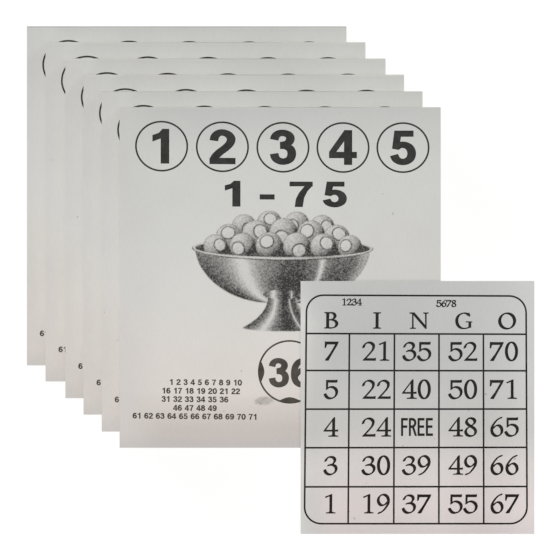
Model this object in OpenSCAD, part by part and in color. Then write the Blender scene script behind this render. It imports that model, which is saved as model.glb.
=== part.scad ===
// A set of bingo pads in a stepped stack, with one loose card lying on the top pad's corner.
// Each pad is a backing board, a block of single leaves and a cover sheet, held by glue at its head.
// +Z is up, +Y points to the glued heads and +X to the right. The origin is the middle of the set's
// footprint, on the surface that the bottom pad lies on.

/* [Pad] */
// Width of a pad
pad_w = 103.6; // [80:0.2:130]
// Length of a pad's sheets, from the glued head to the foot
pad_l = 109.6; // [90:0.2:140]
// Number of leaves in a pad
leaf_count = 100; // [20:1:100]
// Thickness of a leaf
leaf_t = 0.066; // [0.05:0.002:0.09]
// Air between two sheets of a pad
sheet_air = 0.004; // [0.002:0.001:0.01]
// Furthest that a leaf's free edge lies inside the trimmed outline
leaf_jog = 0.12; // [0:0.01:0.3]
// Thickness of the cover sheet
cover_t = 0.1; // [0.06:0.01:0.3]
// Thickness of the backing board
board_t = 0.6; // [0.3:0.05:1.5]

/* [Glue at the head] */
// Thickness of the glue film along its top and bottom edges
glue_edge_t = 0.15; // [0.05:0.01:0.3]
// How much thicker the film is half way up the head
glue_crown = 0.2; // [0.05:0.01:0.5]

/* [Stack] */
// Mean step to the right from one pad to the next
step_x = 6.06; // [1:0.02:12]
// Mean step towards the foot from one pad to the next
step_y = 5.28; // [1:0.02:12]
// Air under a pad or card that lies on a cover
rest_gap = 0.1; // [0.05:0.01:0.3]

/* [Loose card] */
// Width of the loose card
card_w = 75.4; // [60:0.2:100]
// Length of the loose card
card_l = 81.6; // [60:0.2:110]
// Thickness of the loose card
card_t = 0.07; // [0.05:0.002:0.3]
// How far the card reaches past the top pad's right edge
card_past_side = 30.2; // [10:0.2:40]
// How far the card reaches past the top pad's foot
card_past_foot = 27.8; // [10:0.2:40]
// How far the card's free corner hangs below its flat part
card_droop = 2; // [0.5:0.1:4]

/* [Hidden] */
// Each pad's share of the mean steps, to the right and towards the foot, from the second pad up
step_shares = [[1.01, 0.98], [1.07, 1.02], [0.98, 1], [0.98, 1.03], [0.96, 0.98]];
pad_count = len(step_shares) + 1;
// Turn from one leaf to the next in the wander of their free edges, and from one edge to the next
jog_turn = 137.5;
edge_turn = 75;
// Direction in which the card's free corner points, through the pad's corner
droop_turn = -45;
// How far a cutting shape runs past what it cuts
overrun = 5;

leaf_pitch = leaf_t + sheet_air;
leaves_z = board_t + sheet_air;
cover_z = leaves_z + leaf_count * leaf_pitch;
pad_h = cover_z + cover_t;
pad_pitch = pad_h + rest_gap;
glue_t = glue_edge_t + glue_crown;
glue_r = (pow(pad_h / 2, 2) + pow(glue_crown, 2)) / (2 * glue_crown);

set_w = pad_step(pad_count).x + pad_w + card_past_side;
set_l = glue_t + pad_step(pad_count).y + pad_l + card_past_foot;

// The card bends from a line through the pad's corner to its own free corner
bend_span = (card_past_side + card_past_foot) * cos(droop_turn);
bend_r = (pow(bend_span, 2) + pow(card_droop, 2)) / (2 * card_droop);
bend_angle = asin((bend_span + overrun) / bend_r);
card_reach = norm([card_w, card_l]);

sheet_names = ["backing", "leaves", "cover", "glue"];

// How far a pad lies from the bottom one, to the right and towards the foot
function pad_step(i) =
    i < 2 ? [0, 0] : pad_step(i - 1) + [step_x * step_shares[i - 2].x, step_y * step_shares[i - 2].y];
function jog(leaf, edge) = leaf_jog * (1 + sin(leaf * jog_turn + edge * edge_turn)) / 2;

// From the pads' own frame, with the head's lower left corner at its origin, to the set's frame
module on_stack(i) {
    translate([pad_step(i).x - set_w / 2, set_l / 2 - glue_t - pad_step(i).y, pad_pitch * (i - 1)])
        children();
}

module backing() {
    color("tan")
        translate([0, -pad_l, 0])
            cube([pad_w, pad_l, board_t]);
}

// Single leaves, flush at the head and trimmed a hair unevenly at their free edges
module leaves() {
    color("gainsboro")
        for (n = [0:leaf_count - 1]) {
            left = jog(n, 1);
            right = jog(n, 2);
            foot = jog(n, 3);
            translate([left, foot - pad_l, leaves_z + n * leaf_pitch])
                cube([pad_w - left - right, pad_l - foot, leaf_t]);
        }
}

module cover() {
    color("lightgray")
        translate([0, -pad_l, cover_z])
            cube([pad_w, pad_l, cover_t]);
}

// A film with a crowned back, from the foot of the board to the top of the cover
module glue() {
    color("whitesmoke")
        rotate([90, 0, 90])
            linear_extrude(pad_w)
                intersection() {
                    square([glue_t, pad_h]);
                    translate([glue_t - glue_r, pad_h / 2])
                        circle(glue_r, $fn = 360);
                }
}

// The card's frame has the top pad's lower right corner at its origin, and its flat underside at z = 0
module loose_card() {
    color("gainsboro")
        on_stack(pad_count)
            translate([pad_w, -pad_l, pad_h + rest_gap])
                intersection() {
                    card_outline();
                    rotate(droop_turn) {
                        flat_sheet();
                        bent_sheet();
                    }
                }
}

module card_outline() {
    translate([card_past_side - card_w, -card_past_foot, -card_droop - overrun])
        cube([card_w, card_l, card_droop + card_t + 2 * overrun]);
}

// Endless paper on the pad's side of the bend, which runs along Y
module flat_sheet() {
    translate([-card_reach, -card_reach, 0])
        cube([card_reach, 2 * card_reach, card_t]);
}

// Endless paper that curves down from the bend
module bent_sheet() {
    translate([0, 0, -bend_r])
        rotate([90, 0, 0])
            rotate(90 - bend_angle)
                rotate_extrude(angle = bend_angle, $fn = 720)
                    translate([bend_r, -card_reach])
                        square([card_t, 2 * card_reach]);
}

for (i = [1:pad_count]) {
    on_stack(i) backing();
    on_stack(i) leaves();
    on_stack(i) cover();
    on_stack(i) glue();
}
loose_card();
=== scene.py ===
"""The looks of a set of bingo pads with a loose card: print, paper, glue and board, light and camera.

Lengths are in millimetres and become metres where a mesh is made. A sheet's own frame has its origin at
the head's left corner, with x to the right and y up the sheet, so all that is printed has y below 0.
"""

from functools import lru_cache, partial
from math import cos, pi, radians, sin, sqrt, tau
from typing import NamedTuple

import bpy
import numpy as np
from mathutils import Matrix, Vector
from mathutils.geometry import delaunay_2d_cdt


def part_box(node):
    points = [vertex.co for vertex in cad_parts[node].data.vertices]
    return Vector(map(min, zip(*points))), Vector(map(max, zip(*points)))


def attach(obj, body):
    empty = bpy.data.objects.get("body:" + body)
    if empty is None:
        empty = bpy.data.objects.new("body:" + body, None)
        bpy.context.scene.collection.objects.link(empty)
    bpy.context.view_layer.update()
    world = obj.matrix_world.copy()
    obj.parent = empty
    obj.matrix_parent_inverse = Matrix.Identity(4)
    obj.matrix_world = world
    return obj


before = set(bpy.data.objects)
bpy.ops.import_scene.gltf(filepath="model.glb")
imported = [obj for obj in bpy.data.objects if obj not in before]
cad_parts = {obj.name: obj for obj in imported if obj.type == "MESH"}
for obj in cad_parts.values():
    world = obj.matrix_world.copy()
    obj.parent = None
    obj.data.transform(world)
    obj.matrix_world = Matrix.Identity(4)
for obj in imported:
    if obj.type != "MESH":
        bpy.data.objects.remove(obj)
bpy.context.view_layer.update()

MM = 0.001

PAD_COUNT = sum(name.endswith("_cover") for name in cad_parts)
# Thickness of the loose card, as in the part's source
CARD_T = 0.07

# How far print and pictures stand proud of their sheet, and how deep they go into it
INK_PROUD = 0.012
PICTURE_PROUD = 0.009
INK_SUNK = 0.02

# Camera, in mm: straight above the set, from so far that pads at all heights look nearly the same size
LENS_MM = 1600
SENSOR_MM = 36
VIEW_WIDTH = 180.65
SUBJECT_Z = 46.8
AIM = (0, -0.17)
CLIP_START, CLIP_END = 100, 30000


def srgb(*levels):
    """A linear colour from 8-bit display levels."""
    shares = [v / 255 for v in levels]
    return [s / 12.92 if s <= 0.04045 else ((s + 0.055) / 1.055) ** 2.4 for s in shares]


# Shapes of letters and numbers, in hundredths of their height

EM = 100

# Nibs: width, thickness and turn in degrees
TEXT_NIB = (15.2, 5.6, 30)
ROUND_NIB = (14.6, 6.4, 8)
CAPITAL_NIB = (17.5, 5.5, 12)
SANS_NIB = (21, 17.5, 0)
NARROW_NIB = (9.5, 12, 0)
RING_LETTER_NIB = (18.5, 6.5, 20)

# Thickness of a serif at its ends and beside its stem, and the bracket's height and reach
SERIF_T, SERIF_MIDDLE_T, BRACKET_H, BRACKET_REACH = 4.6, 6.2, 10, 3


def smooth(points, closed, steps):
    """A Catmull-Rom curve through the points, with this many steps from one to the next."""
    p = np.array(points, float)
    if closed:
        p = np.vstack([p[-1:], p, p[:2]])
    else:
        p = np.vstack([2 * p[:1] - p[1:2], p, 2 * p[-1:] - p[-2:-1]])
    t = np.linspace(0, 1, steps, endpoint=False)[:, None]
    curve = [
        b + t * (c - a) / 2 + t**2 * (2 * a - 5 * b + 4 * c - d) / 2 + t**3 * (3 * b - a - 3 * c + d) / 2
        for a, b, c, d in zip(p, p[1:], p[2:], p[3:])
    ]
    return np.vstack(curve if closed else curve + [p[-2:-1]])


def pen(points, nib, closed=False, ends=True, straight=False, steps=4):
    """What an elliptical nib (width, thickness, turn in degrees) draws along a curve, as polygons."""
    width, thickness, turn = nib
    c, s = cos(radians(turn)), sin(radians(turn))
    shape = np.array([[c, -s], [s, c]]) @ np.diag([width / 2, thickness / 2])
    path = np.array(points, float) if straight else smooth(points, closed, steps)
    path = path @ np.linalg.inv(shape).T
    if closed:
        path = np.vstack([path, path[:1]])
        tangent = np.vstack([path[1:2] - path[-2:-1], path[2:] - path[:-2], path[1:2] - path[-2:-1]])
    else:
        tangent = np.gradient(path, axis=0)
    tangent /= np.linalg.norm(tangent, axis=1)[:, None]
    normal = np.stack([-tangent[:, 1], tangent[:, 0]], axis=1)
    left, right = (path + normal) @ shape.T, (path - normal) @ shape.T
    drawn = []
    for i in range(len(path) - 1):
        drawn += [[right[i], right[i + 1], left[i + 1]], [right[i], left[i + 1], left[i]]]
    if ends and not closed:
        for k, way in ((0, -1), (-1, 1)):
            turns = [pi * j / (2 * steps) for j in range(2 * steps + 1)]
            cap = [path[k] + normal[k] * cos(a) + way * tangent[k] * sin(a) for a in turns]
            drawn.append([q @ shape.T for q in cap])
    return drawn


def oval(x, y, rx, ry, count=16):
    return [(x + rx * cos(tau * k / count), y + ry * sin(tau * k / count)) for k in range(count)]


def stem(x0, x1, y0=0, y1=EM):
    return [[(x0, y0), (x1, y0), (x1, y1), (x0, y1)]]


def foot(x0, x1, stem0, stem1, y=0, up=1):
    """A thin bracketed serif under a stem, or above it with up = -1."""
    end, middle, bracket = (y + up * rise for rise in (SERIF_T, SERIF_MIDDLE_T, BRACKET_H))
    return [[
        (x0, y), (x1, y), (x1, end), (stem1 + BRACKET_REACH, middle), (stem1, bracket),
        (stem0, bracket), (stem0 - BRACKET_REACH, middle), (x0, end),
    ]]


def half_turn(polygons, width):
    """A letter of this width upside down."""
    return [[(width - x, EM - y) for x, y in polygon] for polygon in polygons]


# The stroke of a six, which half a turn makes a nine
SIX = [(57, 98), (46, 94), (33, 84), (20, 68), (10.5, 52), (7.5, 35), (11, 18), (21, 6), (34, 1.5),
       (48, 6), (58.5, 18), (61, 33), (56, 48), (45, 57.5), (33, 57), (22, 50), (15, 42)]
SANS_SIX = [(57, 77), (49, 88), (37, 91.5), (24, 85), (15, 70), (12, 50), (13, 31), (21, 15), (35, 8.8),
            (49, 14), (57.5, 29), (56, 45), (46, 55), (35, 57), (23, 51), (15, 40)]


def serif(draw):
    """Letters with serifs, each as its width and the polygons that this pen draws."""
    return {
        "0": (68, draw(oval(34, 50, 26.8, 48.3), ROUND_NIB, closed=True)),
        "1": (64, [[(4, 87), (37, 101), (41.5, 101), (41.5, 88), (28, 90), (8, 81.5)]]
              + stem(28, 41.5, 0, 96) + foot(11, 59, 27, 42.5)),
        "2": (70, draw([(5.5, 70), (9, 81), (19, 91), (33, 95.2), (47, 91.5), (57, 81.5), (58, 69),
                       (52, 54), (39, 38), (23, 20), (10, 7)], TEXT_NIB)
              + [[(0, 0), (69.5, 0), (70.5, 14), (66, 14), (63, 11.8), (22, 11.8), (8, 9)]]),
        "3": (70, draw([(9, 74), (14, 84), (24, 92.5), (36, 94.5), (49, 91), (57, 81), (55.5, 69),
                       (47, 58.5), (38, 52.5)], TEXT_NIB)
              + draw([(24, 50.5), (36, 53.5), (50, 51.5), (61, 43), (64.5, 30.5), (60, 17), (48, 6.5),
                     (32, 2), (18, 6), (9.5, 14), (4.5, 25)], TEXT_NIB)),
        "4": (75, stem(45, 59, 4, 94)
              + [[(0, 27), (75, 27), (75.5, 37), (71, 37), (69, 35.5), (10, 35.5), (0, 31)],
                 [(0, 28), (12, 35.5), (47, 84), (59, 101.5), (54, 101.5), (51, 98), (0, 31)],
                 [(45, 78), (59, 94), (59, 101.5), (54, 101.5), (47, 88)]]
              + foot(25, 76, 44, 60)),
        "5": (74, [[(10.5, 98), (10.5, 85), (64.5, 85), (69, 87), (70, 100), (66, 99.3), (63, 98)],
                   [(10.5, 98), (10.5, 47), (13, 46.5), (20, 54), (21, 90)]]
              + draw([(16, 52.5), (26, 60), (38, 62), (51, 58.5), (62, 49), (66.5, 35), (62.5, 19),
                     (51, 7), (34, 2), (20, 5), (10.5, 14), (4.5, 24)], TEXT_NIB)),
        "6": (68, draw(SIX, TEXT_NIB)),
        "7": (75, [[(2.5, 99.5), (3, 84.5), (68, 84.5), (75, 97), (74.5, 98.5), (8, 98.5), (5, 99.5)],
                   [(3, 90), (13, 86), (12.5, 81), (8, 66.5), (1.5, 66.5), (2.5, 80)],
                   [(75, 97), (67, 79), (55, 59), (41.5, 36), (22, 0), (4.5, 0), (4.5, 3), (29, 35),
                    (45, 62), (57, 84), (64, 92)]]),
        "8": (68, draw([(34, 96), (21, 93), (12.5, 80), (16, 67), (28, 57.5), (42, 49), (55, 39),
                       (60.5, 25), (54, 9), (36, 1.8), (16, 7.5), (7.8, 24), (13, 39), (27, 50), (43, 60),
                       (54.5, 70), (56, 82), (47, 93)], TEXT_NIB, closed=True)),
        "9": (68, half_turn(draw(SIX, TEXT_NIB), 68)),
        "B": (88, stem(12, 29) + foot(0, 40, 12, 29) + foot(0, 40, 12, 29, y=EM, up=-1)
              + draw([(26, 97), (44, 97), (59, 92), (66.5, 76), (58, 61), (40, 54), (26, 53)],
                     CAPITAL_NIB, ends=False)
              + draw([(26, 53.5), (46, 53.5), (67, 47), (78, 29), (68, 10), (46, 3), (26, 3)],
                     CAPITAL_NIB, ends=False)),
        "I": (48, stem(15.5, 32.5) + foot(0, 48, 15.5, 32.5) + foot(0, 48, 15.5, 32.5, y=EM, up=-1)),
        "N": (120, stem(17, 25, 0, 96) + stem(98, 106, 4)
              + foot(3, 39, 18, 24) + foot(86, 119, 99, 105, y=EM, up=-1)
              + [[(0, 100), (31, 100), (106, 14), (106, 0), (99, 0), (17, 92), (0, 95)]]),
        "G": (106, draw([(88, 82), (76, 93), (58, 98), (38, 94), (18, 79), (9.5, 52), (16, 24), (35, 6),
                        (58, 2.5), (80, 7), (91, 12)], CAPITAL_NIB, ends=False)
              + stem(83, 99, 8, 42) + stem(66, 106, 41, 46) + [[(84, 100), (89, 100), (91, 76), (86, 76)]]),
        "O": (112, draw(oval(56, 50, 46.5, 48), RING_LETTER_NIB, closed=True)),
    }


def sans(draw):
    """Bold letters without serifs."""
    return {
        "0": (72, draw(oval(36, 50, 24, 42.3), SANS_NIB, closed=True)),
        "1": (60, [[(28, 0), (49, 0), (49, 100), (32.5, 100), (23, 88), (7, 81.5), (7, 63.5), (28, 73)]]),
        "2": (70, draw([(13, 68), (16.5, 81), (26, 90), (38, 91.2), (51, 85), (57.5, 73), (53, 58.5),
                       (42, 46), (28, 34), (17, 21), (12.5, 9)], SANS_NIB, ends=False)
              + stem(2.5, 68, 0, 17.5)),
        "3": (70, draw([(12.5, 72), (17, 84), (27, 91), (39, 91), (50, 85.5), (54, 74.5), (48, 62),
                       (35, 57), (28, 56.5)], SANS_NIB, ends=False)
              + draw([(28, 54), (41, 53.5), (54, 45), (57.5, 30), (53, 16), (42, 9.3), (29, 9), (17, 17),
                     (12.5, 31)], SANS_NIB, ends=False)),
        "4": (74, stem(40, 60) + stem(2, 72, 19.5, 37)
              + [[(2, 37), (2, 26), (19, 36), (45, 76), (45, 100), (41, 100)]]),
        "5": (71, stem(14, 62, 82, 99) + [[(14, 99), (8, 47), (25, 44), (31, 90)]]
              + draw([(17, 50.5), (27, 57), (39, 57.8), (51, 51.5), (57.5, 37), (55, 20), (44, 10),
                     (31, 8.8), (19, 15), (12.5, 28)], SANS_NIB, ends=False)),
        "6": (70, draw(SANS_SIX, SANS_NIB, ends=False)),
        "7": (70, stem(4, 67, 82, 98.5)
              + [[(67, 98.5), (67, 85), (52, 62), (43, 36), (39, 0), (18.5, 0), (22, 30), (31, 55),
                  (46, 82), (52, 90)]]),
        "8": (72, draw(oval(36, 74, 19.5, 17.4), SANS_NIB, closed=True)
              + draw(oval(36, 30.5, 24, 22), SANS_NIB, closed=True)),
        "9": (70, half_turn(draw(SANS_SIX, SANS_NIB, ends=False), 70)),
        "-": (48, stem(4, 44, 29, 47)),
    }


def narrow(draw):
    """Narrow capitals."""
    return {
        "F": (37, stem(0, 9.5) + stem(0, 36, 88, 100) + stem(0, 33, 46, 58)),
        "R": (43, stem(0, 9.5)
              + draw([(5, 94), (20, 94), (31, 88), (35.5, 74), (31, 60), (20, 52), (5, 52)],
                     NARROW_NIB, ends=False)
              + [[(17, 50), (27, 53), (44, 0), (34, 0)]]),
        "E": (38, stem(0, 9.5) + stem(0, 37, 88, 100) + stem(0, 35, 46, 58) + stem(0, 38, 0, 12)),
    }


# Each font's letters. The small one has fewer points along its curves
FONTS = {
    "serif": serif(pen), "sans": sans(pen), "narrow": narrow(pen), "small": sans(partial(pen, steps=2)),
}
# Width of a space as a share of the step from letter to letter
SPACE = 0.58


# Areas

# How close two points have to be to become one, in a letter's own units and, for lines, in mm
LETTER_MERGE = 1e-4
LINE_MERGE = 1e-5
# The kind of triangulation that fills the points' whole convex outline
FILL_OUTLINE = 0
# Keeps the length of a zero edge from dividing
TINY = 1e-9


def union(polygons, merge):
    """Points and triangles of the area that the polygons cover between them, with close points merged."""
    corners, faces = [], []
    for polygon in polygons:
        x, y = np.array(polygon, float).T
        area = np.sum(x * np.roll(y, -1) - np.roll(x, -1) * y)
        ring = polygon if area > 0 else polygon[::-1]
        faces.append(list(range(len(corners), len(corners) + len(ring))))
        corners += [Vector((float(a), float(b))) for a, b in ring]
    points, _, triangles, _, _, sources = delaunay_2d_cdt(corners, [], faces, FILL_OUTLINE, merge, True)
    kept = [t for t, source in zip(triangles, sources) if source]
    return np.array([p[:] for p in points]), np.array(kept)


def rim_edges(triangles, count):
    """The edges that only one triangle has, each with its inside on the left."""
    edges = np.vstack([triangles[:, [0, 1]], triangles[:, [1, 2]], triangles[:, [2, 0]]])
    there, back = edges[:, 0] * count + edges[:, 1], edges[:, 1] * count + edges[:, 0]
    return edges[~np.isin(there, back)]


def swell(points, triangles, by):
    """Moves a patch's rim outwards, as ink spreads on newsprint."""
    rim = rim_edges(triangles, len(points))
    way = points[rim[:, 1]] - points[rim[:, 0]]
    way /= np.maximum(np.linalg.norm(way, axis=1), TINY)[:, None]
    out = np.stack([way[:, 1], -way[:, 0]], axis=1)
    total = np.zeros_like(points)
    np.add.at(total, rim[:, 0], out)
    np.add.at(total, rim[:, 1], out)
    size = np.linalg.norm(total, axis=1)
    return points + by * total / np.maximum(size, 1.0)[:, None] * np.where(size > 0, 1, 0)[:, None]


# Lines of text

class Setting(NamedTuple):
    """How text is set. Stretch is how many times wider than drawn its letters are. The rest is in mm: their
    height, the step from one to the next, and how far the ink spreads past their outlines.
    """

    font: str
    height: float
    pitch: float
    stretch: float
    spread: float


@lru_cache(maxsize=None)
def glyph(font, letter):
    """A letter's points, about its middle, and its triangles."""
    width, polygons = FONTS[font][letter]
    points, triangles = union(polygons, LETTER_MERGE)
    return points - [width / 2, EM / 2], triangles


def write(text, x, y, setting):
    """Patches for a line of text centred x mm right of and y mm below the sheet's top left corner."""
    steps = [setting.pitch * (SPACE if letter == " " else 1) for letter in text]
    scale = [setting.height * setting.stretch / EM, setting.height / EM]
    along = x - sum(steps) / 2
    patches = []
    for letter, step in zip(text, steps):
        if letter != " ":
            points, triangles = glyph(setting.font, letter)
            placed = points * scale + [along + step / 2, -y]
            patches.append((swell(placed, triangles, setting.spread), triangles))
        along += step
    return patches


# Lines and rings

LINE_NIB = (0.56, 0.56, 0)
# Length of the pieces of a straight line, short enough to follow a bent sheet
LINE_STEP = 1.6
CORNER_STEPS = 9
RING_POINTS = 96


def straight_points(start, end):
    """Points from start to end, in steps of about LINE_STEP."""
    start, end = np.array(start, float), np.array(end, float)
    count = round(float(np.linalg.norm(end - start)) / LINE_STEP)
    return [start + (end - start) * k / count for k in range(count + 1)]


def rule(start, end):
    return pen(straight_points(start, end), LINE_NIB, ends=False, straight=True)


def ring(x, y, rx, ry):
    """An oval line about a point x mm right of and y mm below the sheet's top left corner."""
    return pen(oval(x, -y, rx, ry, RING_POINTS), LINE_NIB, closed=True, straight=True)


def rounded_frame(left, top, right, bottom, radius):
    """Points round a frame with round corners, counter-clockwise."""
    arcs = []
    for x, y, first in ((right, top, 0), (left, top, 90), (left, bottom, 180), (right, bottom, 270)):
        x += radius if x == left else -radius
        y += radius if y == bottom else -radius
        turns = [radians(first + 90 * k / CORNER_STEPS) for k in range(CORNER_STEPS + 1)]
        arcs.append([(x + radius * cos(a), y + radius * sin(a)) for a in turns])
    path = []
    for arc, following in zip(arcs, arcs[1:] + arcs[:1]):
        path += arc + straight_points(arc[-1], following[0])[1:-1]
    return path


# The card's print, in mm right of and below its top left corner

GRID_X = [1.53, 15.55, 30.16, 44.62, 59.02, 72.92]
GRID_Y = [4.70, 17.05, 28.91, 41.31, 53.72, 66.35, 78.28]
GRID_RADIUS = 5.4
HEAD_X = [9.68, 24.50, 38.14, 52.64, 66.74]
HEAD_Y = 12.78
HEAD_LETTER = Setting("serif", height=5.2, pitch=0, stretch=1, spread=0.065)
NUMBER_X = [9.76, 24.40, 37.44, 52.42, 65.70]
NUMBER_Y = [22.64, 34.92, 47.08, 59.42, 71.86]
NUMBER = Setting("serif", height=6.15, pitch=4.83, stretch=1, spread=0.055)
FREE_WORD = Setting("narrow", height=5.65, pitch=2.68, stretch=1, spread=0.09)
# How far the word in the free square stands right of its column's numbers
FREE_ASIDE = 0.1
SERIAL_X, SERIAL_Y = 16.2, 6.85
BATCH_X, BATCH_Y = 47.0, 7.2
SMALL_NUMBER = Setting("serif", height=2.15, pitch=1.62, stretch=1.05, spread=0.085)

# Rows of numbers from the top, with None for the free square
CARD_NUMBERS = [
    [7, 21, 35, 52, 70], [5, 22, 40, 50, 71], [4, 24, None, 48, 65], [3, 30, 39, 49, 66], [1, 19, 37, 55, 67],
]
LEAF_NUMBERS = [
    [2, 16, 31, 46, 61], [8, 20, 34, 51, 64], [10, 23, None, 54, 68], [13, 26, 42, 57, 72],
    [15, 29, 45, 60, 75],
]
CARD_SERIAL, LEAF_SERIAL, BATCH = "1234", "1235", "5678"

# The lean and bow that the print has on its sheet, and the point of the card that they leave in its place
WARP_X, WARP_Y = 37.4, 47
LEAN, LEAN_GROWTH = -0.0024, 0.0002
BOW, BOW_WAVE, WAVE_TOP, WAVE_SPAN = 0.0011, 0.0030, 4.7, 53.2


def card_print(numbers, serial):
    top, bottom, left, right = -GRID_Y[0], -GRID_Y[-1], GRID_X[0], GRID_X[-1]
    lines = pen(rounded_frame(left, top, right, bottom, GRID_RADIUS), LINE_NIB, closed=True, straight=True)
    for y in GRID_Y[1:-1]:
        lines += rule((left, -y), (right, -y))
    for x in GRID_X[1:-1]:
        lines += rule((x, -GRID_Y[1]), (x, bottom))
    patches = [union(lines, LINE_MERGE)]
    for x, letter in zip(HEAD_X, "BINGO"):
        patches += write(letter, x, HEAD_Y, HEAD_LETTER)
    for y, row in zip(NUMBER_Y, numbers):
        for x, number in zip(NUMBER_X, row):
            if number is None:
                patches += write("FREE", x + FREE_ASIDE, y, FREE_WORD)
            else:
                patches += write(str(number), x, y, NUMBER)
    patches += write(serial, SERIAL_X, SERIAL_Y, SMALL_NUMBER)
    patches += write(BATCH, BATCH_X, BATCH_Y, SMALL_NUMBER)
    return patches


def card_warp(points):
    x, down = points[:, 0], -points[:, 1]
    lean = LEAN + LEAN_GROWTH * (x - WARP_X)
    bow = BOW + BOW_WAVE * np.cos(pi * (down - WAVE_TOP) / WAVE_SPAN)
    return np.stack([x + lean * (down - WARP_Y), -(down + bow * (x - WARP_X))], axis=1)


# The cover's print, in mm right of and below its top left corner

RING_X = [13.56, 33.17, 52.70, 72.07, 91.42]
RING_Y, RING_RX, RING_RY = 12.76, 8.28, 7.91
RING_DIGIT = Setting("sans", height=11.1, pitch=0, stretch=1.14, spread=0.08)
TITLE_X, TITLE_Y = 53.05, 27.85
TITLE = Setting("sans", height=8.1, pitch=10.9, stretch=1.42, spread=0.15)
BALL_X, BALL_Y, BALL_R = 54.89, 85.20, 9.98
# How far the ball's number stands right of and below the ball's middle
BALL_NUMBER_ASIDE, BALL_NUMBER_BELOW = 0.1, 0.3
BALL_NUMBER = Setting("sans", height=9.3, pitch=7.26, stretch=1.05, spread=0.06)
SMALL_ROWS = [
    (27.75, 88.8, "1 2 3 4 5 6 7 8 9 10"), (26.24, 91.6, "16 17 18 19 20 21 22"),
    (24.32, 94.3, "31 32 33 34 35 36"), (24.32, 97.1, "46 47 48 49"),
    (24.32, 99.8, "61 62 63 64 65 66 67 68 69 70 71"),
]
SMALL_ROW = Setting("small", height=1.85, pitch=1.45, stretch=1.08, spread=0.03)

# Dark lenses at the ball's rim: where they lie and half how wide they are, in degrees, and their thickness
LENS_SIDES = (0, 180, 270)
LENS_HALF_TURN, LENS_T = 21, 1.8
LENS_HALF_STEPS = 6

# The print rises to the left of this x and sinks to the right of it, by this much over this span
RISE_X, RISE, RISE_SPAN = 91.4, 0.47, 77.9


def cover_print():
    """The rings with their digits, and the title line."""
    patches = []
    for x, digit in zip(RING_X, "12345"):
        patches.append(union(ring(x, RING_Y, RING_RX, RING_RY), LINE_MERGE))
        patches += write(digit, x, RING_Y, RING_DIGIT)
    return patches + write("1-75", TITLE_X, TITLE_Y, TITLE)


def lower_print():
    """The ball and the rows of small numbers, in a thinner, greyer ink."""
    lenses = [lens(side) for side in LENS_SIDES]
    patches = [union(ring(BALL_X, BALL_Y, BALL_R, BALL_R) + lenses, LINE_MERGE)]
    patches += write("36", BALL_X + BALL_NUMBER_ASIDE, BALL_Y + BALL_NUMBER_BELOW, BALL_NUMBER)
    for x, y, text in SMALL_ROWS:
        patches += write(text, x, y, SMALL_ROW)
    return patches


def lens(side):
    """A dark lens inside the ball's ring, where a number on the ball's side would show."""
    outer, inner = [], []
    for k in range(2 * LENS_HALF_STEPS + 1):
        a = radians(side - LENS_HALF_TURN + LENS_HALF_TURN * k / LENS_HALF_STEPS)
        reach = BALL_R - LENS_T * (1 - ((k - LENS_HALF_STEPS) / LENS_HALF_STEPS) ** 2)
        outer.append((BALL_X + BALL_R * cos(a), BALL_R * sin(a) - BALL_Y))
        inner.append((BALL_X + reach * cos(a), reach * sin(a) - BALL_Y))
    return outer + inner[-2:0:-1]


def cover_warp(points):
    left_of = RISE_X - points[:, 0]
    rise = RISE * (left_of / RISE_SPAN) ** 2 * np.sign(left_of)
    return points + np.column_stack([np.zeros_like(rise), rise])


# Picture on the cover: a footed bowl heaped with plain balls. Its tones go from 0, bare paper, to 1, full ink

# Left, top, right and bottom of the picture and of the ball's shadow, in mm on the cover
PICTURE = (22.0, 32.9, 83.5, 72.6)
SHADOW = (43.2, 92.9, 50.0, 96.3)
# Sizes of the tone net's cells, the second one for pictures that another pad covers
PICTURE_CELL, COVERED_CELL = 0.25, 0.5
# Where a cell's tone is sampled, on each side of a corner of the net, in cells
SAMPLES = (-0.4, -0.13, 0.13, 0.4)

# The bowl with its rim and lip, and its stand with a neck, a foot and a knob under the bowl
BOWL_X, RIM_Y, RIM_RX, RIM_RY, BOWL_DEPTH = 52.6, 45.4, 28.2, 2.8, 14.8
BOWL_ROUNDNESS = 1.8
LIP, LIP_OUTLINE = 0.75, 0.3
NECK_Y, NECK_R, FOOT_Y, FOOT_R, FOOT_DROP = 59.4, 4.6, 71.0, 12.8, 1.1
FOOT_FLARE = 2.6
KNOB_BELOW, KNOB_PAST, KNOB_HALF_H = 0.9, 1.7, 1.5

# Balls from back to front: right of the bowl's middle, below the sheet's head, radius, way its disc faces
BALLS = [
    (-12.4, 38.4, 3.9, 330), (-4.2, 37.4, 4.1, 80), (4.6, 37.5, 4.0, 200), (12.8, 38.5, 3.9, 10),
    (-17.3, 42.0, 4.3, 100), (-8.6, 40.8, 4.5, 30), (0.3, 40.2, 4.6, 250), (9.1, 40.8, 4.5, 140),
    (17.4, 42.0, 4.3, 60), (-21.6, 44.9, 3.9, 20), (-13.0, 44.7, 4.2, 210), (-4.3, 44.6, 4.4, 120),
    (4.5, 44.6, 4.4, 300), (13.1, 44.7, 4.2, 45), (21.7, 44.9, 3.9, 160),
]
# Way to the balls' light: right, up and out of the sheet
BALL_LIGHT = (-0.45, 0.62, 0.64)
# A ball's pale disc: sine of its turn from the reader, cosine at its edge, and half its outline's width
DISC_TILT, DISC_EDGE, DISC_OUTLINE = 0.42, 0.86, 0.024
# A ball is outlined where it faces the reader by less than this
BALL_OUTLINE = 0.2
# A ball's tone away from its light, how much paler its lit side is, and how that falls off
BALL_SHADE, BALL_SHINE, SHINE_FALL = 0.98, 0.86, 0.8
# Tone of a disc as a share of its ball's, and tones of the outlines of disc and ball
DISC_SHARE, DISC_OUTLINE_TONE, BALL_OUTLINE_TONE = 0.3, 0.95, 0.97
BALL_RANGE = (0.03, 0.98)

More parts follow.
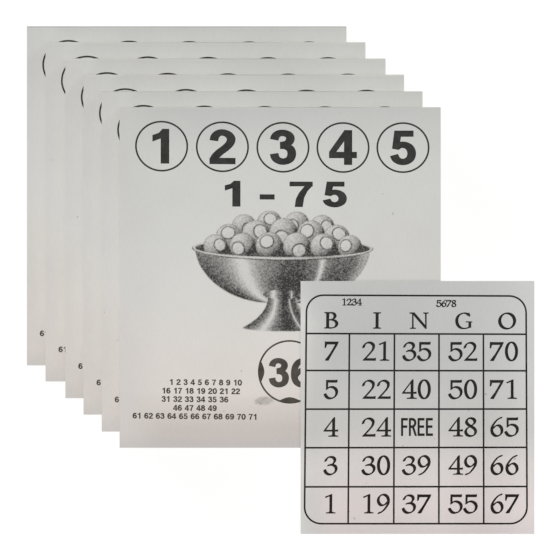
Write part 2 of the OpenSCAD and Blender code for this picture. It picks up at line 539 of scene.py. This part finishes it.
HOLLOW_TONE, BACK_LIP_TONE, LIP_TONE, LIP_OUTLINE_TONE = 0.96, 0.2, 0.1, 0.98
METAL_TONE = 0.84
METAL_RANGE = (0.03, 0.99)
# Bands across polished metal: tone added, place from -1 at the left edge to 1 at the right one, and width
METAL_BANDS = [(-0.86, -0.46, 0.17), (0.14, 0.12, 0.22), (-0.72, 0.46, 0.035), (-0.3, 0.97, 0.09)]
LIP_BAND = (0.35, 0.45, 0.25)
RIPPLE, RIPPLE_TURN = 0.07, 11
# Share of the metal's tone that the bowl has at its rim, and how much that grows down to its neck
BOWL_SHARE, BOWL_DARKENING = 0.86, 0.3

# The ball's shadow: its middle, half sizes and slant, and its tone, how that fades, and the edge's softness
SHADOW_X, SHADOW_Y, SHADOW_RX, SHADOW_RY, SHADOW_TILT = 46.7, 94.6, 3.3, 1.45, 0.1
SHADOW_TONE, SHADOW_FADE, SHADOW_FIRMNESS, SHADOW_SOFTNESS = 0.30, 0.09, 1.4, 0.4


def disc(x, y, cx, cy, rx, ry):
    return ((x - cx) / rx) ** 2 + ((y - cy) / ry) ** 2 < 1


def half_ellipse(across, half, height):
    """How far the lower half of an ellipse reaches down, at this far across from its middle."""
    return height * np.sqrt(np.clip(1 - (across / half) ** 2, 0, 1))


def band(u, at, width):
    return np.exp(-(((u - at) / width) ** 2))


def metal(u):
    """Tone across a polished round body, from its left edge at -1 to its right edge at 1."""
    bands = sum(added * band(u, at, width) for added, at, width in METAL_BANDS)
    return np.clip(METAL_TONE + bands + RIPPLE * np.sin(RIPPLE_TURN * u), *METAL_RANGE)


def ball_tone(x, y, cx, cy, r, facing):
    """Tone of a ball, shaded from its light, with a pale outlined disc where its number would be."""
    dx, dy = (x - cx) / r, (cy - y) / r
    dz = np.sqrt(np.clip(1 - dx**2 - dy**2, 0, 1))
    light_x, light_y, light_z = BALL_LIGHT
    lit = np.clip(light_x * dx + light_y * dy + light_z * dz, 0, 1)
    tone = BALL_SHADE - BALL_SHINE * lit**SHINE_FALL
    disc_x, disc_y = cos(radians(facing)) * DISC_TILT, sin(radians(facing)) * DISC_TILT
    near = disc_x * dx + disc_y * dy + sqrt(1 - disc_x**2 - disc_y**2) * dz
    tone = np.where(near > DISC_EDGE, tone * DISC_SHARE, tone)
    tone = np.where(np.abs(near - DISC_EDGE) < DISC_OUTLINE, DISC_OUTLINE_TONE, tone)
    return np.clip(np.where(dz < BALL_OUTLINE, BALL_OUTLINE_TONE, tone), *BALL_RANGE)


def picture_tone(x, y):
    """Tone at points in mm right of and below the cover's top left corner."""
    tone = np.zeros_like(x)
    side, below = x - BOWL_X, y - RIM_Y
    opening = disc(x, y, BOWL_X, RIM_Y, RIM_RX, RIM_RY)
    tone[disc(x, y, BOWL_X, RIM_Y, RIM_RX + LIP, RIM_RY + LIP)] = BACK_LIP_TONE
    tone[opening] = HOLLOW_TONE
    for aside, ball_y, r, facing in BALLS:
        inside = disc(x, y, BOWL_X + aside, ball_y, r, r)
        tone = np.where(inside, ball_tone(x, y, BOWL_X + aside, ball_y, r, facing), tone)

    front = half_ellipse(side, RIM_RX, RIM_RY)
    depth = np.clip((below - front) / BOWL_DEPTH, 0, 1)
    half = (RIM_RX - NECK_R) * np.sqrt(np.clip(1 - depth**BOWL_ROUNDNESS, 0, 1)) + NECK_R
    body = (below > front + LIP) & (depth < 1) & (np.abs(side) < half)
    share = BOWL_SHARE + BOWL_DARKENING * depth
    tone = np.where(body, np.clip(metal(side / half) * share, *METAL_RANGE), tone)
    added, at, width = LIP_BAND
    for wider, shade in ((LIP + LIP_OUTLINE, LIP_OUTLINE_TONE), (LIP, LIP_TONE)):
        lip = disc(x, y, BOWL_X, RIM_Y, RIM_RX + wider, RIM_RY + wider) & ~opening & (below > -LIP_OUTLINE)
        tone = np.where(lip, shade + (1 - shade) * added * band(side / RIM_RX, at, width), tone)

    fall = np.clip((y - NECK_Y) / (FOOT_Y - NECK_Y), 0, None)
    half = NECK_R + (FOOT_R - NECK_R) * fall**FOOT_FLARE
    stand = (y > NECK_Y) & (y < FOOT_Y + half_ellipse(side, FOOT_R, FOOT_DROP)) & (np.abs(side) < half)
    tone = np.where(stand, metal(side / half), tone)
    knob = disc(x, y, BOWL_X, NECK_Y + KNOB_BELOW, NECK_R + KNOB_PAST, KNOB_HALF_H)
    return np.where(knob, metal(side / (NECK_R + KNOB_PAST)), tone)


def shadow_tone(x, y):
    """The faint shadow under the printed ball, paler to the right and at its edge."""
    across = (x - SHADOW_X) / SHADOW_RX
    down = (y - SHADOW_Y + SHADOW_TILT * (x - SHADOW_X)) / SHADOW_RY
    body = np.clip(SHADOW_FIRMNESS - SHADOW_FIRMNESS * (across**2 + down**2), 0, 1)
    return (SHADOW_TONE - SHADOW_FADE * across) * body**SHADOW_SOFTNESS


def tone_net(region, tone_at, cell):
    """A net of small cells over what isn't bare, with the mean tone about each corner."""
    x0, y0, x1, y1 = region
    xs, ys = np.arange(x0, x1 + cell, cell), np.arange(y0, y1 + cell, cell)
    x, y = np.meshgrid(xs, ys)
    aside = [cell * share for share in SAMPLES]
    tone = sum(tone_at(x + dx, y + dy) for dx in aside for dy in aside) / len(aside) ** 2
    wide = len(xs)
    a = (np.arange(len(ys) - 1)[:, None] * wide + np.arange(wide - 1)[None, :]).ravel()
    inked = tone.ravel() > 0
    a = a[inked[a] | inked[a + 1] | inked[a + wide] | inked[a + wide + 1]]
    triangles = np.vstack([np.stack([a, a + wide, a + 1], 1), np.stack([a + 1, a + wide, a + wide + 1], 1)])
    used, triangles = np.unique(triangles, return_inverse=True)
    points = np.stack([x.ravel(), -y.ravel()], 1)[used]
    return points, triangles.reshape(-1, 3), tone.ravel()[used]


# Meshes

def thin_solid(points, heights, triangles, proud):
    """Corners and triangles of a closed film that stands proud of a surface and goes a little into it."""
    count = len(points)
    a, b = rim_edges(triangles, count).T
    top, underside = np.column_stack([points, heights + proud]), np.column_stack([points, heights - INK_SUNK])
    faces = np.vstack([
        triangles, triangles[:, ::-1] + count,
        np.stack([a + count, b + count, b], 1), np.stack([a + count, b, a], 1),
    ])
    return np.vstack([top, underside]), faces


def film(name, patches, corner, height, body, material, warp=None, proud=INK_PROUD, tones=None):
    """A printed piece from patches in a sheet's own frame, laid on it. Tones are those of a single patch."""
    corners, faces, count = [], [], 0
    for points, triangles in patches:
        placed = (warp(points) if warp else points) + corner
        film_corners, film_faces = thin_solid(placed, height(placed), triangles, proud)
        corners.append(film_corners)
        faces.append(film_faces + count)
        count += len(film_corners)
    mesh = bpy.data.meshes.new(name)
    mesh.from_pydata((np.vstack(corners) * MM).tolist(), [], np.vstack(faces).tolist())
    if tones is not None:
        layer = mesh.attributes.new("tone", "FLOAT", "POINT")
        layer.data.foreach_set("value", np.tile(tones, 2).astype(np.float32))
    mesh.materials.append(material)
    piece = bpy.data.objects.new(name, mesh)
    bpy.context.scene.collection.objects.link(piece)
    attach(piece, body)


def level(z):
    """The height of a flat sheet's top at any points."""
    return lambda points: np.full(len(points), z)


def sheet_place(node):
    """A flat sheet's head left corner and the height of its top, in mm."""
    low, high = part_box(node)
    return np.array([low.x, high.y]) / MM, high.z / MM


def card_surface():
    """The height of the loose card's top: flat over the pad, then round a cylinder to the free corner."""
    low, high = (np.array(v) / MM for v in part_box("loose_card"))
    pad_low, pad_high = (np.array(v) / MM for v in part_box(f"pad_{PAD_COUNT}_cover"))
    corner = np.array([pad_high[0], pad_low[1]])
    droop = high[2] - CARD_T - low[2]
    reach = ((high[0] - corner[0]) + (corner[1] - low[1])) / sqrt(2)
    radius = (reach**2 + droop**2) / (2 * droop) + CARD_T

    def height(points):
        past = np.clip(((points[:, 0] - corner[0]) - (points[:, 1] - corner[1])) / sqrt(2), 0, None)
        return high[2] - radius + np.sqrt(radius**2 - past**2)

    return height


# Materials

BLACK, WHITE = (0, 0, 0), (1, 1, 1)
PINKISH = (1, 0.965, 0.975)
SPECK = srgb(120, 118, 112)
# The paper's grain where ink is thin
THIN_INK = srgb(170, 168, 163)
# The middle part of a noise, which holds nearly all of it
NOISE_LOW, NOISE_HIGH = 0.3, 0.7


class Look:
    """A Principled material and short ways to add nodes to it."""

    def __init__(self, name, roughness, specular):
        self.material = bpy.data.materials.new(name)
        self.material.use_nodes = True
        self.tree = self.material.node_tree
        self.shader = self.tree.nodes["Principled BSDF"]
        self.shader.inputs["Roughness"].default_value = roughness
        self.shader.inputs["Specular IOR Level"].default_value = specular
        self.places = self.tree.nodes.new("ShaderNodeTexCoord")

    def fill(self, socket, value):
        """Links another node's output to a socket, or sets the socket to a value."""
        if isinstance(value, bpy.types.NodeSocket):
            self.tree.links.new(value, socket)
        else:
            socket.default_value = value

    def node(self, kind, inputs=None, **settings):
        made = self.tree.nodes.new(kind)
        for key, value in settings.items():
            setattr(made, key, value)
        for key, value in (inputs or {}).items():
            self.fill(made.inputs[key], value)
        return made

    def noise(self, scale, detail, stretch=(1, 1, 1), seed=0.0, rough=0.5):
        """Noise over the object's own places, moved by the seed. A larger stretch makes it finer that way."""
        moved = {"Vector": self.places.outputs["Object"], "Scale": stretch, "Location": (seed,) * 3}
        place = self.node("ShaderNodeMapping", moved).outputs[0]
        grain = {"Vector": place, "Scale": scale, "Detail": detail, "Roughness": rough}
        return self.node("ShaderNodeTexNoise", grain).outputs["Fac"]

    def ramp(self, value, stops):
        """Colours between stops, each a share and its colour."""
        made = self.node("ShaderNodeValToRGB", {"Fac": value})
        elements = made.color_ramp.elements
        while len(elements) < len(stops):
            elements.new(0.5)
        while len(elements) > len(stops):
            elements.remove(elements[-1])
        for element, (at, colour) in zip(elements, stops):
            element.position = at
            element.color = opaque(colour)
        return made.outputs["Color"]

    def math(self, operation, a, b, clamp=False):
        return self.node("ShaderNodeMath", {0: a, 1: b}, operation=operation, use_clamp=clamp).outputs[0]

    def spread(self, value, low, high):
        """Maps the middle part of a noise onto low to high."""
        limits = {"From Min": NOISE_LOW, "From Max": NOISE_HIGH, "To Min": low, "To Max": high}
        return self.node("ShaderNodeMapRange", {"Value": value, **limits}).outputs["Result"]

    def mix(self, factor, a, b, blend="MIX"):
        made = self.node("ShaderNodeMix", data_type="RGBA", blend_type=blend)
        for index, value in ((0, factor), (6, a), (7, b)):
            self.fill(made.inputs[index], value)
        return made.outputs[2]

    def scale_colour(self, colour, factor):
        return self.node("ShaderNodeVectorMath", {0: colour, "Scale": factor}, operation="SCALE").outputs[0]

    def colour(self, socket):
        self.tree.links.new(socket, self.shader.inputs["Base Color"])

    def bump(self, height, distance, strength):
        made = self.node("ShaderNodeBump", {"Height": height, "Distance": distance, "Strength": strength})
        self.tree.links.new(made.outputs[0], self.shader.inputs["Normal"])

    def generated(self, axis):
        """The place along an axis of the piece's own box, from 0 to 1."""
        return self.node("ShaderNodeSeparateXYZ", {"Vector": self.places.outputs["Generated"]}).outputs[axis]


def greys(shares):
    """Stops of a ramp from shares of full white."""
    return [(at, (share,) * 3) for at, share in shares]


def opaque(colour):
    return (*colour, 1)


# A sheet's tint with painted light and shade over it: tones and right_shading run from foot to head, and
# shading from left to right. Besides the paper's tint, they paint the sheet lighter or darker up its length,
# along its left edge and across it, as the light fell on it
COVER_TINTS_AND_PAINTED_LIGHT = {
    "tones": [
        (0.0, srgb(193, 188, 185)), (0.06, srgb(199, 191, 185)), (0.17, srgb(219, 213, 207)),
        (0.4, srgb(213, 211, 206)), (0.75, srgb(206, 207, 203)), (0.86, srgb(204, 205, 201)),
        (1.0, srgb(191, 192, 189)),
    ],
    "left_tones_and_painted_light": [
        (0.0, srgb(198, 194, 190)), (0.05, srgb(208, 203, 198)), (0.4, srgb(208, 206, 202)),
        (0.62, srgb(205, 205, 202)), (1.0, srgb(194, 194, 190)),
    ],
    "shading": [(0.0, 1.0), (0.12, 0.985), (0.4, 1.0)],
    "right_shading": [(0.5, 0.945), (0.65, 0.955), (0.8, 0.98), (1.0, 1.0)],
}
CARD_TINTS_AND_PAINTED_LIGHT = {
    "tones": [
        (0.0, srgb(207, 200, 198)), (0.1, srgb(215, 206, 203)), (0.27, srgb(212, 207, 204)),
        (0.41, srgb(199, 197, 194)), (0.72, srgb(189, 190, 188)), (1.0, srgb(193, 194, 191)),
    ],
    "left_tones_and_painted_light": [
        (0.0, srgb(199, 199, 196)), (0.14, srgb(200, 199, 195)), (0.25, srgb(209, 207, 204)),
        (0.4, srgb(194, 192, 187)), (0.84, srgb(206, 206, 203)), (0.95, srgb(193, 193, 192)),
    ],
    "shading": [
        (0.0, 0.925), (0.06, 0.858), (0.3, 0.838), (0.49, 0.84), (0.69, 0.868), (0.87, 0.93), (0.97, 1.0),
    ],
    "right_shading": [(0.08, 0.92), (0.25, 0.885), (0.42, 0.875), (0.58, 0.94), (0.75, 1.0), (0.92, 0.96)],
}
# Shares of a sheet's width over which the left edge's tones fade out and the right part's shading fades in
LEFT_FADE = (0.02, 0.13)
RIGHT_FADE = (0.6, 0.8)
# How much brighter than its tints a sheet's paper is, to look like them in this light. The lower covers are
# painted brighter than the top one, as painted light against the shade that the pads above cast on them
TOP_COVER_LIFT, COVER_LIFT, CARD_LIFT = 1.035, 1.135, 1.217

# Inks from foot to head
COVER_INK = [(0.0, srgb(47, 47, 45))]
LOWER_INK = [(0.0, srgb(71, 66, 60))]
CARD_INK = [
    (0.09, srgb(29, 18, 13)), (0.26, srgb(26, 21, 17)), (0.42, srgb(26, 24, 20)), (0.6, srgb(27, 27, 24)),
]
# Bare paper and full ink of the picture and of the ball's shadow
PICTURE_INK = (srgb(208, 206, 202), srgb(52, 52, 50))
SHADOW_INK = (srgb(211, 205, 198), srgb(60, 54, 48))

# Painted shade on the glue along the heads from left to right: on the bottom pad it is dark all along, a
# painted shadow line at its head, and on those above it darker in the middle
BOTTOM_GLUE_SHADING = [(0.0, 0.63), (0.45, 0.61), (0.9, 0.66)]
GLUE_SHADING = [(0.0, 1.0), (0.38, 0.98), (0.5, 0.84), (0.68, 0.84), (0.78, 0.99), (1.0, 1.0)]


def paper(name, lift, tones, left_tones_and_painted_light, shading, right_shading):
    """Newsprint: a tint with painted light and shade up and across the sheet, soft blotches, fibres and a few
    dark specks.
    """
    look = Look(name, roughness=0.88, specular=0.18)
    up, across = look.generated("Y"), look.generated("X")
    # Painted light and shade: the tones, the left edge's tones and both shadings make the sheet lighter or
    # darker up and across it
    near_left = look.ramp(across, [(LEFT_FADE[0], WHITE), (LEFT_FADE[1], BLACK)])
    tint = look.mix(near_left, look.ramp(up, tones), look.ramp(up, left_tones_and_painted_light))
    near_right = look.ramp(across, [(RIGHT_FADE[0], BLACK), (RIGHT_FADE[1], WHITE)])
    tint = look.mix(1.0, tint, look.ramp(across, greys(shading)), "MULTIPLY")
    tint = look.mix(near_right, tint, look.ramp(up, greys(right_shading)), "MULTIPLY")
    blotch = look.spread(look.noise(scale=45, detail=2, seed=3.1), lift * 0.98, lift * 1.02)
    fibre = look.spread(look.noise(scale=1500, detail=3, stretch=(1, 0.35, 1), seed=1.7), 0.985, 1.015)
    tint = look.scale_colour(tint, look.math("MULTIPLY", blotch, fibre))
    pinkish = look.spread(look.noise(scale=70, detail=1, seed=9.4), 0.0, 0.35)
    tint = look.mix(pinkish, tint, opaque(PINKISH), "MULTIPLY")
    speck = look.ramp(look.noise(scale=420, detail=1, seed=5.2), [(0.0, BLACK), (0.80, BLACK), (0.82, WHITE)])
    look.colour(look.mix(look.math("MULTIPLY", speck, 0.45), tint, opaque(SPECK)))
    look.bump(look.noise(scale=2600, detail=3, stretch=(1, 0.5, 1)), distance=0.00001, strength=0.5)
    return look.material


def cut_leaves():
    """A block of leaves: fine level streaks at its cut edges, and a paler, fibrous face on top."""
    look = Look("leaf_block", roughness=0.92, specular=0.12)
    streaks = look.noise(scale=60, detail=3, stretch=(1, 1, 240), seed=2.0)
    coarse = look.noise(scale=60, detail=2, stretch=(0.4, 0.4, 30), seed=4.4)
    tones = [(0.3, srgb(176, 172, 163)), (0.5, srgb(203, 200, 192)), (0.72, srgb(216, 213, 206))]
    edge = look.ramp(streaks, tones)
    edge = look.scale_colour(edge, look.spread(coarse, 0.93, 1.06))
    fibres = look.noise(scale=1500, detail=3, stretch=(1, 0.35, 1), seed=1.7)
    face = look.ramp(fibres, [(0.3, srgb(199, 198, 193)), (0.7, srgb(208, 207, 203))])
    face = look.scale_colour(face, look.spread(look.noise(scale=45, detail=2, seed=3.1), 0.98, 1.02))
    normal = look.node("ShaderNodeNewGeometry").outputs["Normal"]
    upward = look.node("ShaderNodeSeparateXYZ", {"Vector": normal}).outputs["Z"]
    on_top = look.math("GREATER_THAN", upward, 0.9)
    look.colour(look.mix(on_top, edge, face))
    look.bump(look.mix(on_top, streaks, fibres), distance=0.00002, strength=0.4)
    return look.material


def grey_board():
    """Pressed grey board with short fibres."""
    look = Look("grey_board", roughness=0.9, specular=0.15)
    fibre = look.noise(scale=900, detail=4, stretch=(1, 0.3, 1))
    tones = [(0.3, srgb(142, 136, 126)), (0.55, srgb(163, 157, 147)), (0.8, srgb(182, 176, 166))]
    cloud = look.spread(look.noise(scale=70, detail=2), 0.96, 1.04)
    look.colour(look.scale_colour(look.ramp(fibre, tones), cloud))
    look.bump(fibre, distance=0.00003, strength=0.5)
    return look.material


def padding_glue(name, shading):
    """Milky glue brushed along the head, thin enough for the leaves' edges to show through as fine lines."""
    look = Look(name, roughness=0.42, specular=0.4)
    brush = look.noise(scale=90, detail=4, stretch=(0.12, 1, 3), seed=6.1)
    pool = look.noise(scale=150, detail=2, stretch=(1, 1, 0.3))
    lines = look.noise(scale=60, detail=3, stretch=(0.5, 1, 200), seed=2.0)
    tones = [(0.3, srgb(177, 174, 168)), (0.55, srgb(197, 194, 187)), (0.75, srgb(219, 216, 208))]
    # Painted shade along the head, darker or lighter from left to right
    shade = look.ramp(look.generated("X"), greys(shading))
    tint = look.mix(1.0, look.ramp(brush, tones), shade, "MULTIPLY")
    uneven = look.math("MULTIPLY", look.spread(lines, 0.93, 1.06), look.spread(pool, 0.95, 1.05))
    look.colour(look.scale_colour(tint, uneven))
    look.bump(look.math("ADD", brush, look.math("MULTIPLY", lines, 0.4)), distance=0.00008, strength=0.6)
    return look.material


def ink(name, tones):
    """Matt ink, unevenly thick, that the paper's grain breaks up a little."""
    look = Look(name, roughness=0.7, specular=0.2)
    cloud = look.spread(look.noise(scale=330, detail=3, seed=7.7, rough=0.65), 0.7, 1.42)
    thin = look.ramp(look.noise(scale=3200, detail=2, seed=0.6), [(0.0, BLACK), (0.66, BLACK), (0.78, WHITE)])
    tint = look.scale_colour(look.ramp(look.generated("Y"), tones), cloud)
    look.colour(look.mix(look.math("MULTIPLY", thin, 0.12), tint, opaque(THIN_INK)))
    return look.material


def tone_print(name, bare, full):
    """Printed tones between bare paper and full ink, with a screen's fine grain."""
    look = Look(name, roughness=0.8, specular=0.2)
    tone = look.node("ShaderNodeAttribute", attribute_name="tone", attribute_type="GEOMETRY").outputs["Fac"]
    grain = look.spread(look.noise(scale=2300, detail=2, seed=8.8), -0.2, 0.2)
    # The palest tones fade out, so that the film's own edge doesn't show
    inked = look.math("MULTIPLY", tone, 6, clamp=True)
    shade = look.math("MULTIPLY", look.math("ADD", tone, grain), inked, clamp=True)
    look.colour(look.mix(shade, opaque(bare), opaque(full)))
    return look.material


def dress(nodes, material):
    """Gives this material to the nodes' own meshes."""
    for name in nodes:
        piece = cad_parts[name]
        if not piece.material_slots:
            piece.data.materials.append(material)
        for place in piece.material_slots:
            place.material = material


def dress_solids():
    pads = range(1, PAD_COUNT + 1)
    for i in pads:
        # Lower covers get a brighter paper: painted light against the shade of the pads above them
        lift = TOP_COVER_LIFT if i == PAD_COUNT else COVER_LIFT
        dress([f"pad_{i}_cover"], paper(f"cover_paper_{i}", lift, **COVER_TINTS_AND_PAINTED_LIGHT))
    dress([f"pad_{i}_leaves" for i in pads], cut_leaves())
    dress([f"pad_{i}_backing" for i in pads], grey_board())
    dress(["pad_1_glue"], padding_glue("bottom_glue_painted_shadow", BOTTOM_GLUE_SHADING))
    dress([f"pad_{i}_glue" for i in pads[1:]], padding_glue("upper_glue_painted_shade", GLUE_SHADING))
    dress(["loose_card"], paper("card_paper", CARD_LIFT, **CARD_TINTS_AND_PAINTED_LIGHT))


# Pieces

def cover_pieces():
    upper, lower = cover_print(), lower_print()
    upper_ink, lower_ink = ink("cover_ink", COVER_INK), ink("lower_ink", LOWER_INK)
    picture_ink = tone_print("picture_print", *PICTURE_INK)
    shadow_ink = tone_print("shadow_print", *SHADOW_INK)
    for i in range(1, PAD_COUNT + 1):
        on_top = i == PAD_COUNT
        body = "top_cover" if on_top else f"pad_{i}"
        cell = PICTURE_CELL if on_top else COVERED_CELL
        corner, top = sheet_place(f"pad_{i}_cover")
        film(f"pad_{i}_print", upper, corner, level(top), body, upper_ink, cover_warp)
        film(f"pad_{i}_lower_print", lower, corner, level(top), body, lower_ink, cover_warp)
        tone_film(f"pad_{i}_picture", PICTURE, picture_tone, cell, corner, top, body, picture_ink)
        tone_film(f"pad_{i}_ball_shadow", SHADOW, shadow_tone, PICTURE_CELL, corner, top, body, shadow_ink)


def tone_film(name, region, tone_at, cell, corner, top, body, material):
    points, triangles, tones = tone_net(region, tone_at, cell)
    film(name, [(points, triangles)], corner, level(top), body, material, cover_warp, PICTURE_PROUD, tones)


def card_piece():
    corner, _ = sheet_place("loose_card")
    patches, card_ink = card_print(CARD_NUMBERS, CARD_SERIAL), ink("card_ink", CARD_INK)
    film("loose_card_print", patches, corner, card_surface(), "loose_card", card_ink, card_warp)


# The top leaf's print, which is a larger card than the loose one, and how far it is moved right and up
LEAF_SCALE = 1.34
LEAF_SHIFT = [1.1, 0.3]


def leaf_piece():
    corner, top = sheet_place(f"pad_{PAD_COUNT}_leaves")
    patches = [
        (points * LEAF_SCALE + LEAF_SHIFT, triangles)
        for points, triangles in card_print(LEAF_NUMBERS, LEAF_SERIAL)
    ]
    film("top_leaf_print", patches, corner, level(top), f"pad_{PAD_COUNT}", ink("leaf_ink", CARD_INK))


# Stage

# Light on a level face, as shares of full white: from straight above, and from all round
KEY_LIGHT = 0.47
AMBIENT = 0.18
# Side lights: turn from +X and height in degrees, and the share that each adds
SIDE_LIGHTS = [(135, 30, 0.14), (45, 15, 0.06), (225, 15, 0.06), (315, 15, 0.06)]
# Width of the suns as seen from the set, in degrees
KEY_WIDTH, SIDE_WIDTH = 1, 20
# Brightness of the world where the camera sees it past the floor
BACKDROP = 1.05

# The floor glows, so that the side lights' shadows fade out and it shows as white
FLOOR_TONE = 0.35
FLOOR_GLOW = 0.705
FLOOR_HALF = 25000
FLOOR_DROP = 0.1


def sun(name, share, turn, height, width):
    """A sun at this turn and height that gives a level face this share of full white."""
    data = bpy.data.lights.new(name, "SUN")
    across, up = cos(radians(height)), sin(radians(height))
    data.energy = pi * share / up
    data.angle = radians(width)
    way = -Vector((across * cos(radians(turn)), across * sin(radians(turn)), up))
    lamp = bpy.data.objects.new(name, data)
    lamp.rotation_euler = way.to_track_quat("-Z", "Y").to_euler()
    bpy.context.scene.collection.objects.link(lamp)


def studio():
    bpy.context.scene.view_settings.view_transform = "Standard"
    sun("key", KEY_LIGHT, 0, 90, KEY_WIDTH)
    for turn, height, share in SIDE_LIGHTS:
        sun(f"side_{turn}", share, turn, height, SIDE_WIDTH)
    world = bpy.data.worlds.new("studio")
    bpy.context.scene.world = world
    world.use_nodes = True
    nodes, links = world.node_tree.nodes, world.node_tree.links
    background = nodes["Background"]
    background.inputs["Color"].default_value = opaque(WHITE)
    seen = nodes.new("ShaderNodeLightPath")
    strength = nodes.new("ShaderNodeMapRange")
    strength.inputs["To Min"].default_value = AMBIENT
    strength.inputs["To Max"].default_value = BACKDROP
    links.new(seen.outputs["Is Camera Ray"], strength.inputs["Value"])
    links.new(strength.outputs["Result"], background.inputs["Strength"])


def floor():
    half, z = FLOOR_HALF * MM, -FLOOR_DROP * MM
    mesh = bpy.data.meshes.new("floor")
    corners = [(-half, -half, z), (half, -half, z), (half, half, z), (-half, half, z)]
    mesh.from_pydata(corners, [], [(0, 1, 2, 3)])
    look = Look("floor", roughness=0.9, specular=0.0)
    look.shader.inputs["Base Color"].default_value = opaque((FLOOR_TONE,) * 3)
    look.shader.inputs["Emission Color"].default_value = opaque(WHITE)
    look.shader.inputs["Emission Strength"].default_value = FLOOR_GLOW
    mesh.materials.append(look.material)
    piece = bpy.data.objects.new("floor", mesh)
    bpy.context.scene.collection.objects.link(piece)


def camera():
    data = bpy.data.cameras.new("camera")
    data.lens, data.sensor_width = LENS_MM, SENSOR_MM
    data.clip_start, data.clip_end = CLIP_START * MM, CLIP_END * MM
    piece = bpy.data.objects.new("camera", data)
    distance = VIEW_WIDTH * LENS_MM / SENSOR_MM
    piece.location = (AIM[0] * MM, AIM[1] * MM, (SUBJECT_Z + distance) * MM)
    bpy.context.scene.collection.objects.link(piece)
    bpy.context.scene.camera = piece


camera()
studio()
floor()
dress_solids()
cover_pieces()
card_piece()
leaf_piece()
